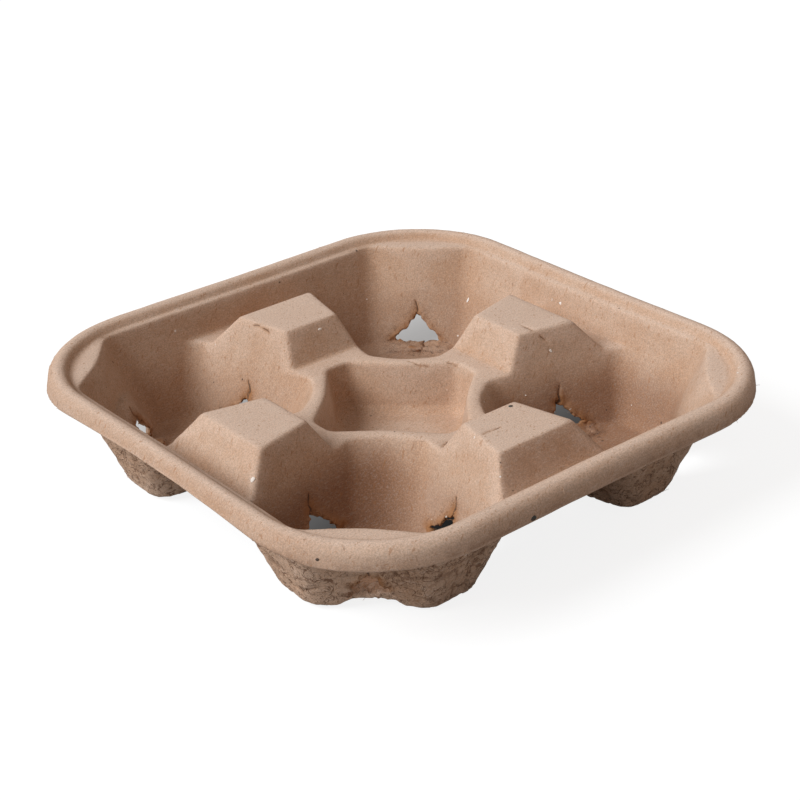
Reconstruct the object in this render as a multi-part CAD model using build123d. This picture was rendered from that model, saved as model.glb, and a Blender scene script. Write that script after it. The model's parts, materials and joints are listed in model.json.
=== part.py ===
from build123d import *
import math
import os

# Four-pocket drinks tray moulded in one piece from paper pulp.
# Everything is in millimetres, +Z is up, and the tray stands on its four pocket feet at z = 0.

# wall and heights; sky_z is above everything, and overlap lets two bodies run into each other
wall = 2.0
height = 44.2
ledge_z = 41.0
boss_z = 41.6
trough_z = 29.0
saddle_z = 29.0
well_floor_z = 9.6
step_z = 5.0
skirt_z = 35.4
sky_z = 48.0
overlap = 0.5

# rim: half side and corner radius of the bead's centre line, bead size, flare of the skirt
bead_half = 103.0
bead_corner = 46.5
bead_radius = 4.2
skirt_flare = 0.8

# slopes, given as mm sideways per mm of height
side_slope = 0.355
panel_slope = 0.44
boss_side_slope = 0.45
inner_slope = 0.70
well_slope = 0.18

# outer walls at ledge height: distance of the side walls and of the corner panels from the middle
side_top = 96.8
panel_top = 112.6
panel_bulge = 3.0
panel_half = 24.0

# boss tops: distances from the middle of the outer and inner edge, and their half lengths
boss_out = 74.9
boss_out_half = 17.9
boss_in = 50.6
boss_in_half = 12.4
boss_in_foot = 42.9
boss_out_foot = 84.8

# ridges between the pockets and the middle well
ridge_mid = 30.4
ridge_end = 34.4
ridge_end_half = 17.5
well_mid = 26.0
well_end = 28.4
well_flat = 35.0
well_half = 21.0
well_soft = 90.0

# soft corners seen from above, at floor and at ledge height
corner_low = 6.0
corner_high = 9.0
inner_corner = 7.0
panel_soft = 60.0
ridge_soft = 28.0
well_corner = 5.0

# bevels round the floors, and radii of the ridge and boss tops and of the ledge
floor_bevel = 1.5
well_bevel = 2.4
top_soft = 1.5
ledge_soft = 0.8

# openings in the pocket walls, each above a low arched step; the two outlines give half an
# opening as parts of gap_half and gap_height, up to a point in the middle of its top
gap_half = 9.5
gap_foot_z = 5.2
gap_height = 11.5
gap_along = 59.0
gap_behind = 12.0
gap_before = 10.0
corner_gap = [(0.85, 0.0), (0.62, 0.36), (0.32, 0.8)]
boss_gap = [(1.0, 0.0), (0.68, 0.22), (0.3, 0.56), (0.08, 0.85)]
arch_radius = 40.0
arch_depth = 6.0
arch_length = 24.0


def shift_line(line, amount):
    """Move a line (point, direction) sideways, to its right for a positive amount."""
    (px, py), (dx, dy) = line
    size = math.hypot(dx, dy)
    return ((px + dy / size * amount, py - dx / size * amount), (dx / size, dy / size))


def crossing(one, two):
    """Point where two lines cross."""
    (ax, ay), (adx, ady) = one
    (bx, by), (bdx, bdy) = two
    cross = adx * bdy - ady * bdx
    s = ((bx - ax) * bdy - (by - ay) * bdx) / cross
    return (ax + s * adx, ay + s * ady)


def line_through(p, q):
    return (p, (q[0] - p[0], q[1] - p[1]))


def rounded_face(lines, radii, z):
    """Closed face at height z bounded by lines in turn; radii[i] rounds the corner of line i and i + 1."""
    count = len(lines)
    corners = [crossing(lines[i], lines[(i + 1) % count]) for i in range(count)]
    spans = []
    for i in range(count):
        before = corners[i - 1]
        here = corners[i]
        after = corners[(i + 1) % count]
        ax, ay = before[0] - here[0], before[1] - here[1]
        bx, by = after[0] - here[0], after[1] - here[1]
        la, lb = math.hypot(ax, ay), math.hypot(bx, by)
        ax, ay, bx, by = ax / la, ay / la, bx / lb, by / lb
        half = math.acos(max(-1.0, min(1.0, ax * bx + ay * by))) / 2
        cut = radii[i] / math.tan(half)
        mx, my = ax + bx, ay + by
        lm = math.hypot(mx, my)
        reach = radii[i] / math.sin(half) - radii[i]
        first = (here[0] + ax * cut, here[1] + ay * cut)
        middle = (here[0] + mx / lm * reach, here[1] + my / lm * reach)
        last = (here[0] + bx * cut, here[1] + by * cut)
        spans.append((first, middle, last))
    edges = []
    for i in range(count):
        first, middle, last = spans[i]
        start = spans[i - 1][2]
        edges.append(Edge.make_line((*start, z), (*first, z)))
        edges.append(Edge.make_three_point_arc((*first, z), (*middle, z), (*last, z)))
    return Face(Wire(edges))


def diagonal(d, t):
    """Point at distance d along the +X+Y diagonal and t to its left."""
    return ((d - t) * math.sqrt(0.5), (d + t) * math.sqrt(0.5))


def blend(low, high, z):
    """Value at height z of a size that runs evenly from the floor to the ledge."""
    return low + (high - low) * (z - wall) / (ledge_z - wall)


def side_distance(z):
    return side_top - side_slope * (ledge_z - z)


def panel_lines(z, grow):
    """The two nearly straight halves of a corner panel, which bulges a little into the pocket."""
    d = panel_top - panel_slope * (ledge_z - z)
    out = grow * math.sqrt(1 + panel_slope ** 2)
    right = diagonal(d + panel_bulge, -panel_half)
    middle = diagonal(d, 0)
    left = diagonal(d + panel_bulge, panel_half)
    return shift_line(line_through(right, middle), out), shift_line(line_through(middle, left), out)


def boss_line(z, side):
    """Foot line of a boss side wall at height z: side 1 for the boss on +X, 2 for the boss on +Y."""
    lean = boss_side_slope * (boss_z - z)
    inner, outer = (boss_in, boss_in_half + lean), (boss_out, boss_out_half + lean)
    if side == 1:
        return line_through(inner, outer)
    return line_through((outer[1], outer[0]), (inner[1], inner[0]))


def pocket_face(z, grow):
    """Outline of the pocket on the +X+Y diagonal at height z, all walls moved out by grow."""
    side = side_distance(z) + grow * math.sqrt(1 + side_slope ** 2)
    boss = grow * math.sqrt(1 + boss_side_slope ** 2)
    inner = grow * math.sqrt(1 + inner_slope ** 2)
    drop = inner_slope * (saddle_z - z)
    ridge_left = diagonal(ridge_end + drop, ridge_end_half)
    ridge_mid_point = diagonal(ridge_mid + drop, 0)
    ridge_right = diagonal(ridge_end + drop, -ridge_end_half)
    panel_a, panel_b = panel_lines(z, grow)
    lines = [
        shift_line(boss_line(z, 1), boss),
        ((side, 0), (0, 1)),
        panel_a,
        panel_b,
        ((0, side), (-1, 0)),
        shift_line(boss_line(z, 2), boss),
        shift_line(line_through(ridge_left, ridge_mid_point), inner),
        shift_line(line_through(ridge_mid_point, ridge_right), inner),
    ]
    corner = blend(corner_low, corner_high, z) + grow
    soft = inner_corner + grow
    radii = [corner, corner, panel_soft - grow, corner, corner, soft, ridge_soft + grow, soft]
    return rounded_face(lines, radii, z)


def rotate_line(line, quarter):
    (px, py), (dx, dy) = line
    for _ in range(quarter):
        px, py, dx, dy = -py, px, -dy, dx
    return ((px, py), (dx, dy))


def upper_face(z, grow):
    """Outline of the side walls and corner panels together at height z."""
    side = side_distance(z) + grow * math.sqrt(1 + side_slope ** 2)
    corner = blend(corner_low, corner_high, z) + grow
    lines = []
    radii = []
    for quarter in range(4):
        panel_a, panel_b = panel_lines(z, grow)
        for line in (((side, 0), (0, 1)), panel_a, panel_b):
            lines.append(rotate_line(line, quarter))
        radii += [corner, panel_soft - grow, corner]
    return rounded_face(lines, radii, z)


def well_face(z, grow):
    """Outline of the middle well at height z: four flats facing the bosses and four bulging walls."""
    lean = well_slope * (saddle_z - z)
    out = grow * math.sqrt(1 + well_slope ** 2)
    right, middle, left = diagonal(well_end, -well_half), diagonal(well_mid, 0), diagonal(well_end, well_half)
    lines = []
    radii = []
    for quarter in range(4):
        flat = ((well_flat, 0), (0, 1))
        for line in (flat, line_through(right, middle), line_through(middle, left)):
            lines.append(rotate_line(shift_line(line, out - lean), quarter))
        radii += [well_corner + grow, well_soft - grow, well_corner + grow]
    return rounded_face(lines, radii, z)


def square_face(half, z):
    return Face(Wire.make_polygon([(half, half, z), (-half, half, z), (-half, -half, z), (half, -half, z)]))


def bottom_edges(shape):
    return shape.faces().sort_by(Axis.Z)[0].edges()


def bevel_beyond(bevel, grow):
    """Bevel that keeps the wall's thickness round an edge whose two faces move out by grow."""
    return bevel + grow * (2 - math.sqrt(2))


def four(shape):
    return [shape.rotate(Axis.Z, 90 * quarter) for quarter in range(4)]


def boss_body(grow):
    """A boss above trough height, standing on the +X side, its faces moved in by grow."""
    faces = []
    for z in (trough_z - grow, boss_z - grow):
        lean = boss_side_slope * (boss_z - z) - grow * math.sqrt(1 + boss_side_slope ** 2)
        run = (boss_out_foot - boss_out) / (boss_z - trough_z)
        outer = boss_out + run * (boss_z - z) - grow * math.sqrt(1 + run ** 2)
        spread = (boss_out_half - boss_in_half) / (boss_out - boss_in)
        near = 20.0
        half_outer = boss_in_half + spread * (outer - boss_in) + lean
        half_near = boss_in_half + spread * (near - boss_in) + lean
        faces.append(Face(Wire.make_polygon([
            (near, -half_near, z), (outer, -half_outer, z), (outer, half_outer, z), (near, half_near, z)])))
    return loft(faces, ruled=True)


def arch_body(grow, foot_point, direction):
    """Low arched step in a pocket's floor, running in from the wall below an opening."""
    radius = arch_radius - grow
    axis_z = step_z - arch_radius
    start = Vector(foot_point[0], foot_point[1], axis_z)
    inward = Vector(direction[0], direction[1], 0).normalized()
    plane = Plane(origin=start + inward * (arch_depth - grow), z_dir=inward * -1)
    return plane * extrude(Circle(radius), arch_length)


def gap_spots():
    """The three openings of the +X+Y pocket: foot point, way into the pocket and half outline."""
    panel_d = panel_top - panel_slope * (ledge_z - step_z)
    lean = boss_side_slope * (boss_z - step_z)
    spread = (boss_out_half - boss_in_half) / (boss_out - boss_in)
    along = gap_along
    across = boss_in_half + lean + spread * (along - boss_in)
    panel_point = diagonal(panel_d, 0)
    return [
        (panel_point, (-1, -1), corner_gap),
        ((along, across), (-spread, 1), boss_gap),
        ((across, along), (1, -spread), boss_gap),
    ]


def gap_tool(foot_point, direction, half):
    """Cutter for one opening, from behind the wall into the pocket."""
    inward = Vector(direction[0], direction[1], 0).normalized()
    start = Vector(foot_point[0], foot_point[1], 0) - inward * gap_behind
    plane = Plane(origin=start, x_dir=Vector(0, 0, 1).cross(inward), z_dir=inward)
    right = [(gap_half * x, gap_foot_z + gap_height * z) for x, z in half]
    left = [(-x, z) for x, z in reversed(right)]
    sketch = Polyline(*right, (0, gap_foot_z + gap_height), *left, close=True)
    return extrude(plane * make_face(sketch.edges()), gap_behind + gap_before)


def space(grow, rim_half):
    """The open space above the tray with every face of the tray moved by grow into the material."""
    floor = wall - grow
    trough = trough_z - grow
    saddle = saddle_z - grow
    pocket = loft([pocket_face(floor, grow), pocket_face(trough, grow)], ruled=True)
    pocket = chamfer(bottom_edges(pocket), bevel_beyond(floor_bevel, grow))
    for foot_point, direction, half in gap_spots():
        pocket = pocket - arch_body(grow, foot_point, direction)
    well = loft([well_face(well_floor_z - grow, grow), well_face(saddle + overlap, grow)], ruled=True)
    well = chamfer(bottom_edges(well), bevel_beyond(well_bevel, grow))
    upper = loft([upper_face(trough, grow), upper_face(ledge_z, grow)], ruled=True)
    above = extrude(rounded_square(rim_half, ledge_z), sky_z - ledge_z)
    run = (boss_in - boss_in_foot) / (boss_z - saddle_z)
    lean = grow * math.sqrt(1 + run ** 2)
    low = boss_in_foot + lean - run * grow
    high = boss_in_foot + lean + run * (sky_z - saddle_z)
    centre = loft([square_face(low, saddle), square_face(high, sky_z)], ruled=True)
    result = upper + above
    for body in four(boss_body(grow)):
        result = result - body
    for body in four(pocket):
        result = result + body
    return result + centre + well


def rounded_square(half, z):
    radius = bead_corner - (bead_half - half)
    lines = [((half, 0), (0, 1)), ((0, half), (-1, 0)), ((-half, 0), (0, -1)), ((0, -half), (1, 0))]
    return rounded_face(lines, [radius] * 4, z)


def rim():
    """Rounded bead with its turned-down skirt, swept around the tray."""
    mid_z = height - bead_radius
    inner = bead_radius - wall
    start = (bead_half, 0, 0)
    out = [
        (-bead_radius, ledge_z - wall), (-bead_radius, mid_z), (bead_radius, mid_z),
        (bead_radius + skirt_flare, skirt_z), (bead_radius + skirt_flare - wall, skirt_z),
        (inner, mid_z), (inner / 2, mid_z + inner), (-inner / 2, mid_z + inner), (-inner, mid_z),
        (-inner, ledge_z - wall)]
    plane = Plane(origin=start, x_dir=(1, 0, 0), z_dir=(0, -1, 0))
    count = len(out)
    edges = [ThreePointArc(out[1], (0, height), out[2])]
    for i in range(2, count + 1):
        edges.append(Line(out[i % count], out[(i + 1) % count]))
    section = plane * make_face([e.edge() for e in edges])
    path = rounded_square(bead_half, 0).outer_wire()
    return sweep(section, path=path)


def level(edge, z):
    box = edge.bounding_box()
    return abs(box.min.Z - z) < 0.01 and abs(box.max.Z - z) < 0.01


def reach(edge):
    """Furthest that an edge gets from the middle of the tray along X or Y."""
    box = edge.bounding_box()
    return max(-box.min.X, -box.min.Y, box.max.X, box.max.Y)


def boss_rise(edge):
    """True for the slanting edges of the bosses, from the saddle or trough up to the boss top."""
    box = edge.bounding_box()
    return abs(box.min.Z - trough_z) < 0.01 and box.max.Z > boss_z - 0.01


def build():
    """The tray: rim, ledge and thin walls that follow every hollow on both sides."""
    inside = space(0.0, bead_half - bead_radius)
    ridge_edges = inside.edges().filter_by(lambda e: level(e, saddle_z) and reach(e) < boss_in)
    boss_edges = inside.edges().filter_by(lambda e: level(e, boss_z) or boss_rise(e))
    inside = fillet(ridge_edges + boss_edges, top_soft)
    inside = fillet(inside.edges().filter_by(lambda e: level(e, ledge_z)), ledge_soft)
    outside = space(wall, bead_half - bead_radius - wall)
    slab = extrude(rounded_square(bead_half - bead_radius + overlap, ledge_z - wall), wall)
    tray = rim() + slab + outside
    tray = tray - inside
    for foot_point, direction, half in gap_spots():
        for tool in four(gap_tool(foot_point, direction, half)):
            tray = tray - tool
    return tray


if __name__ == "__main__":
    os.makedirs("parts", exist_ok=True)
    export_step(build(), "parts/pulp_tray.step")
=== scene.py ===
"""Dresses the moulded pulp cup carrier: felted tray, torn fibres, flecks, soft studio light."""
import json
import math

import bmesh
import bpy
import numpy as np
from mathutils import Matrix, Vector

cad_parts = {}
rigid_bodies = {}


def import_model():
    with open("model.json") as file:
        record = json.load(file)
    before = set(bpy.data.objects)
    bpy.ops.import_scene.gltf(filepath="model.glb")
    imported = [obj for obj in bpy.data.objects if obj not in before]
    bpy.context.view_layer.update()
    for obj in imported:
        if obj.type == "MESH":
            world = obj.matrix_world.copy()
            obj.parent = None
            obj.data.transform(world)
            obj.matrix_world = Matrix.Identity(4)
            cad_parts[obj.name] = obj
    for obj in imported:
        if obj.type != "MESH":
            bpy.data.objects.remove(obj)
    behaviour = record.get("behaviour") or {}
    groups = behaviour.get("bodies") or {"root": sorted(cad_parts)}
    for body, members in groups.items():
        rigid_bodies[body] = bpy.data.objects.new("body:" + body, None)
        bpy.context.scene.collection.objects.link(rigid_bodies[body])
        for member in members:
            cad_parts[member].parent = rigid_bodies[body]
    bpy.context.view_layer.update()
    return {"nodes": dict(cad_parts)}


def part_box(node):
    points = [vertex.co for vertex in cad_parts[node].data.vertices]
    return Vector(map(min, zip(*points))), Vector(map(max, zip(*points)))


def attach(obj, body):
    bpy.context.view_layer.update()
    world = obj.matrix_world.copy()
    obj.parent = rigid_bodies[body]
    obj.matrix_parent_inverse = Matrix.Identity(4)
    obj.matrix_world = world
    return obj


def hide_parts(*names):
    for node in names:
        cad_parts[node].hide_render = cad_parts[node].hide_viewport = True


bl_info = {
    "name": "Moulded pulp cup carrier",
    "version": (1, 0, 0),
    "blender": (4, 5, 0),
    "location": "3D View > Sidebar > Pulp",
    "description": "Finishes a moulded pulp cup carrier and sets it on a white table",
    "category": "Object",
}

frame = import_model()
LOW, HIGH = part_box("pulp_tray")
LOW, HIGH = Vector(LOW), Vector(HIGH)
SPAN = HIGH.x - LOW.x
MM = SPAN / 216.0
DIAGONAL = math.sqrt(0.5)


# Settings a user would change


def metres_setting(name, description, default, low, high):
    return bpy.props.FloatProperty(
        name=name, description=description, default=default, min=low, max=high, unit="LENGTH")


def colour_setting(name, description, default):
    return bpy.props.FloatVectorProperty(
        name=name, description=description, subtype="COLOR", size=3, default=default)


def number_setting(name, description, default, low):
    return bpy.props.IntProperty(name=name, description=description, default=default, min=low)


class PulpForm(bpy.types.PropertyGroup):
    """How the pressed pulp departs from the clean moulded form."""
    grain: metres_setting(
        "Grain", "Size of the cells that the tray is meshed with", 0.00068, 0.0004, 0.002)
    soften: number_setting("Softening", "Passes that round the moulded edges", 4, 0)
    inner_felt: metres_setting(
        "Inner felt", "Unevenness of the smooth inner side", 0.00010, 0.0, 0.001)
    outer_felt: metres_setting(
        "Outer felt", "Unevenness of the rough outer side", 0.00034, 0.0, 0.002)
    fray: metres_setting("Fray", "How far the torn edges of the openings wander", 0.0019, 0.0, 0.004)
    skirt_lift: metres_setting(
        "Skirt lift", "How much shorter the skirt is in the middle of the left front side",
        0.0042, 0.0, 0.006)
    waist: metres_setting("Waist", "How far the middles of the sides are drawn in", 0.0007, 0.0, 0.004)
    tuck: metres_setting(
        "Tuck", "How far the left corner of the rim is pushed in, along each side", 0.0007, 0.0, 0.004)
    triangles: number_setting("Triangles", "Most triangles in the finished tray", 192000, 20000)


class PulpColours(bpy.types.PropertyGroup):
    """Colours of the pulp, its creases and what is mixed into it."""
    body: colour_setting("Pulp", "Plain unbleached pulp", (0.520, 0.352, 0.252))
    # Warm pulp is the redder patches and also the painted shade in the hollows of the tray
    warm: colour_setting("Warm pulp", "Redder patches and pressed corners", (0.465, 0.278, 0.175))
    # Grey pulp is painted light on faces that point up and on bulges, and also a real paler tone in patches
    # on the felted outside
    grey: colour_setting("Grey pulp", "Rubbed faces that point up", (0.630, 0.462, 0.362))
    torn: colour_setting("Torn edge", "Damp-stained torn edges", (0.330, 0.150, 0.062))
    # Painted shade: the darker, browner colour laid low in the cup pockets, on one side of the front pocket,
    # under the rim, on the rim at the -X side and on one boss face
    painted_shade: colour_setting("Deep pulp", "Denser, browner pulp low in the cup pockets", (0.215, 0.098, 0.050))
    fold: colour_setting("Fold", "Creases in the felted outside", (0.170, 0.082, 0.042))
    speck: colour_setting("Speck", "Dark bits in the pulp", (0.075, 0.048, 0.035))
    fleck: colour_setting("Fleck", "Scraps of white paper in the pulp", (0.900, 0.850, 0.800))
    dull_fleck: colour_setting("Dull fleck", "Dustier parts of the white scraps", (0.74, 0.64, 0.56))
    cold_speck: colour_setting("Cold speck", "Dark scraps that lean to blue", (0.05, 0.085, 0.085))


class PulpBits(bpy.types.PropertyGroup):
    """Loose fibres and flecks."""
    torn_fibres: number_setting("Torn fibres", "Fibres that stand out of the torn edges", 180, 0)
    lying_fibres: number_setting("Lying fibres", "Fibres that lie on the walls", 900, 0)
    fibre_length: metres_setting("Fibre length", "Length of a middling fibre", 0.0022, 0.0005, 0.006)
    fibre_radius: metres_setting("Fibre radius", "Half the thickness of a fibre", 0.00007, 0.00002, 0.0003)
    flecks: number_setting("Flecks", "Small paper flecks over the tray", 150, 0)
    seed: number_setting("Seed", "Start of everything random", 11, 0)


class StudioStage(bpy.types.PropertyGroup):
    """Table, light and camera."""
    table_grey: bpy.props.FloatProperty(
        name="Table", description="Lightness of the table as the tray sees it", default=0.45,
        min=0.0, max=1.0, subtype="FACTOR")
    key_strength: bpy.props.FloatProperty(
        name="Key light", description="Strength of the soft light from the left", default=3.05, min=0.0)
    key_softness: bpy.props.FloatProperty(
        name="Key softness", description="Apparent width of the soft light", default=math.radians(34),
        subtype="ANGLE")
    sky_strength: bpy.props.FloatProperty(
        name="Sky", description="Strength of the light from all round", default=0.33, min=0.0)
    glow: bpy.props.FloatProperty(
        name="Glow", description="How much of the white of the table clear of the tray is its own",
        default=0.85, min=0.0, max=1.0, subtype="FACTOR")
    lens: bpy.props.FloatProperty(
        name="Lens", description="Focal length of the camera in mm", default=78.60, min=10.0)


def form():
    return bpy.context.scene.pulp_form


def colours():
    return bpy.context.scene.pulp_colours


def bits():
    return bpy.context.scene.pulp_bits


def studio():
    return bpy.context.scene.pulp_studio


# Small mesh and noise helpers


def link(obj):
    bpy.context.scene.collection.objects.link(obj)
    return obj


def plain_copy(obj, name):
    """The object with its modifiers applied, as a plain mesh of its own."""
    graph = bpy.context.evaluated_depsgraph_get()
    mesh = bpy.data.meshes.new_from_object(obj.evaluated_get(graph))
    mesh.name = name
    return mesh


def points_of(mesh):
    flat = np.empty(len(mesh.vertices) * 3, dtype=np.float32)
    mesh.vertices.foreach_get("co", flat)
    return flat.reshape(-1, 3).astype(np.float64)


def normals_of(mesh):
    flat = np.empty(len(mesh.vertices) * 3, dtype=np.float32)
    mesh.vertex_normals.foreach_get("vector", flat)
    return flat.reshape(-1, 3).astype(np.float64)


def put_points(mesh, points):
    mesh.vertices.foreach_set("co", points.astype(np.float32).ravel())
    mesh.update()


def edges_of(mesh):
    flat = np.empty(len(mesh.edges) * 2, dtype=np.int32)
    mesh.edges.foreach_get("vertices", flat)
    return flat.reshape(-1, 2)


def averaged(values, edges, rounds, amount=0.5):
    """Values moved towards the mean of their neighbours along the edges."""
    count = len(values)
    a, b = edges[:, 0], edges[:, 1]
    degree = np.maximum(np.bincount(a, minlength=count) + np.bincount(b, minlength=count), 1)
    out = np.array(values, dtype=np.float64)
    if out.ndim == 1:
        out = out[:, None]
    for _ in range(rounds):
        near = np.empty_like(out)
        for k in range(out.shape[1]):
            total = np.bincount(a, weights=out[b, k], minlength=count)
            total += np.bincount(b, weights=out[a, k], minlength=count)
            near[:, k] = total / degree
        out += amount * (near - out)
    return out[:, 0] if np.ndim(values) == 1 else out


# Large odd multipliers that stir the lattice points
STIR = (374761393, 668265263, 2147483647, 1274126177)


def lattice(ix, iy, iz, seed):
    """Repeatable random value from -1 to 1 for each lattice point."""
    n = (ix * STIR[0] + iy * STIR[1] + iz * STIR[2] + seed * STIR[3]) & 0xFFFFFFFF
    n = ((n ^ (n >> 13)) * STIR[3]) & 0xFFFFFFFF
    n = ((n ^ (n >> 16)) * STIR[1]) & 0xFFFFFFFF
    return ((n >> 8) & 0xFFFF) / 32767.5 - 1.0


def cloud(points, size, seed):
    """Smooth random value from -1 to 1 at each point, with lumps of the given size."""
    q = points / size
    cell = np.floor(q).astype(np.int64)
    f = q - cell
    f = f * f * (3 - 2 * f)
    out = np.zeros(len(points))
    for dx in (0, 1):
        wx = f[:, 0] if dx else 1 - f[:, 0]
        for dy in (0, 1):
            wy = f[:, 1] if dy else 1 - f[:, 1]
            for dz in (0, 1):
                wz = f[:, 2] if dz else 1 - f[:, 2]
                out += wx * wy * wz * lattice(cell[:, 0] + dx, cell[:, 1] + dy, cell[:, 2] + dz, seed)
    return out


def clouds(points, size, seed):
    """Three clouds side by side, for moving points about."""
    return np.stack([cloud(points, size, seed + k) for k in range(3)], 1)


def smooth_step(low, high, x):
    t = np.clip((x - low) / (high - low), 0, 1)
    return t * t * (3 - 2 * t)


def over(low, high, x):
    """Smooth step from 0 at low to 1 at high, both in the tray's millimetres."""
    return smooth_step(low * MM, high * MM, x)


def band(distance, width):
    """1 on a line, falling away with the distance from it; the width is in millimetres."""
    return np.exp(-(distance / (width * MM)) ** 2)


def taken(mesh, name):
    """Values that give() stored on the points of a mesh."""
    flat = np.empty(len(mesh.vertices), dtype=np.float32)
    mesh.attributes[name].data.foreach_get("value", flat)
    return flat.astype(np.float64)


def give(mesh, name, values):
    """Stores one value on each point of a mesh."""
    layer = mesh.attributes.new(name, "FLOAT", "POINT")
    layer.data.foreach_set("value", values.astype(np.float32))


# Where the twelve openings are, in the tray's own millimetres: foot points, size and cracks. The outlines
# are in shares of the half width and the height

PANEL_FOOT = 96.76
BOSS_ALONG = 59.0
BOSS_ACROSS = 30.77
BOSS_SPREAD = 0.226
GAP_FOOT = 5.2
GAP_HEIGHT = 11.5
GAP_HALF = 9.5
PANEL_OUTLINE = ((0.85, 0.0), (0.62, 0.36), (0.32, 0.8), (0.0, 1.0))
BOSS_OUTLINE = ((1.0, 0.0), (0.68, 0.22), (0.30, 0.56), (0.08, 0.85), (0.0, 1.0))
CRACK_PATH = ((0.0, 15.8), (0.5, 17.4), (-0.3, 18.9), (0.4, 20.2), (1.2, 21.4))
# How far a wall may lean from the foot of its own opening
WALL_LEAN = 9.0
# Stands for a point that is nowhere near an opening, in metres
FAR = 1.0


def opening_places():
    """Foot point, way into the pocket and outline of each opening."""
    places = []
    d = PANEL_FOOT * DIAGONAL
    first = [((d, d), (-1, -1), PANEL_OUTLINE), ((BOSS_ALONG, BOSS_ACROSS), (-BOSS_SPREAD, 1), BOSS_OUTLINE),
             ((BOSS_ACROSS, BOSS_ALONG), (1, -BOSS_SPREAD), BOSS_OUTLINE)]
    for quarter in range(4):
        turn = Matrix.Rotation(quarter * math.pi / 2, 2)
        for foot, inward, outline in first:
            places.append((turn @ Vector(foot) * MM, (turn @ Vector(inward)).normalized(), outline))
    return places


def from_segment(u, z, start, end):
    """Distance in a plane from points (u, z) to the line from start to end."""
    ex, ez = end[0] - start[0], end[1] - start[1]
    t = np.clip(((u - start[0]) * ex + (z - start[1]) * ez) / (ex * ex + ez * ez), 0, 1)
    return np.hypot(u - start[0] - t * ex, z - start[1] - t * ez)


def near_opening(points):
    """Distance of each point from the nearest opening's edge, negative inside it, and from its crack."""
    best = np.full(len(points), FAR)
    split = np.full(len(points), FAR)
    z = points[:, 2]
    for number, (foot, inward, outline) in enumerate(opening_places()):
        side = Vector((-inward.y, inward.x))
        u = (points[:, 0] - foot.x) * side.x + (points[:, 1] - foot.y) * side.y
        w = (points[:, 0] - foot.x) * inward.x + (points[:, 1] - foot.y) * inward.y
        close = np.abs(w) < WALL_LEAN * MM
        right = [(GAP_HALF * x * MM, (GAP_FOOT + GAP_HEIGHT * h) * MM) for x, h in outline]
        loop = right + [(-x, h) for x, h in reversed(right[:-1])]
        gap = np.full(len(points), FAR)
        inside = np.zeros(len(points), dtype=bool)
        for (ax, az), (bx, bz) in zip(loop, loop[1:] + loop[:1]):
            gap = np.minimum(gap, from_segment(u, z, (ax, az), (bx, bz)))
            crosses = ((az > z) != (bz > z)) & (u < (bx - ax) * (z - az) / ((bz - az) or 1e-12) + ax)
            inside ^= crosses
        gap = np.where(inside, -gap, gap)
        best = np.minimum(best, np.where(close, gap, FAR))
        way = 1 if number % 2 else -1
        path = [(way * x * MM, h * MM) for x, h in CRACK_PATH]
        for start, end in zip(path, path[1:]):
            split = np.minimum(split, np.where(close, from_segment(u, z, start, end), FAR))
    return best, split


# Scars on the boss edges, the ridges and one pocket: points along each, in mm
SCARS = (((-16.4, 66.1, 40.5), (-15.4, 62.1, 40.7), (-15.1, 58.7, 39.6)),
         ((57.2, -6.6, 41.6), (57.4, -13.0, 41.6), (60.9, -16.6, 37.5)),
         ((21.8, 18.7, 29.0), (23.3, 14.5, 28.3), (26.2, 11.9, 27.8)),
         ((32.7, 7.7, 28.8), (34.3, 4.8, 27.7), (37.6, 3.9, 29.0)),
         ((-13.0, -41.2, 29.0), (-9.6, -39.5, 29.0)),
         ((-12.4, -61.3, 41.6), (-8.2, -61.3, 41.6), (-4.5, -61.8, 41.6)),
         ((69.0, -32.6, 6.1), (71.9, -34.0, 4.2), (68.5, -39.6, 2.0)))


# How far a scar winds and how long its bends are
SCAR_SWAY = 0.45
SCAR_BENDS = 1.7


def from_scars(points):
    """Distance of each point from the nearest scar, along a slightly winding way."""
    bent = points + SCAR_SWAY * MM * clouds(points, SCAR_BENDS * MM, 91)
    best = np.full(len(points), FAR)
    for path in SCARS:
        for start, end in zip(path, path[1:]):
            low, way = np.array(start) * MM, (np.array(end) - np.array(start)) * MM
            part = np.clip((bent - low) @ way / (way @ way), 0, 1)
            best = np.minimum(best, np.linalg.norm(bent - low - part[:, None] * way, axis=1))
    return best


# How the openings have settled, in mm, apart from the two shares of the distance from the middle
SETTLED_REACH = 6.0
BACK_SPREAD = 0.30
BACK_CLOSING = 0.75
BACK_DROP = 0.8
BACK_TOP_DROP = 2.0
BOSS_TOP_DROP = 2.2
STEP_RISE = 1.6
LEFT_REACH = 9.0
LEFT_PULL = 2.4
# Corner and half width of the part of the tray that the back and the left opening lie in
BACK_CORNER = 20.0
LEFT_CORNER = 45.0
LEFT_HALF = 22.0
# Least difference of x and y in a pocket's boss side
BOSS_SIDE = 18.0


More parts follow.
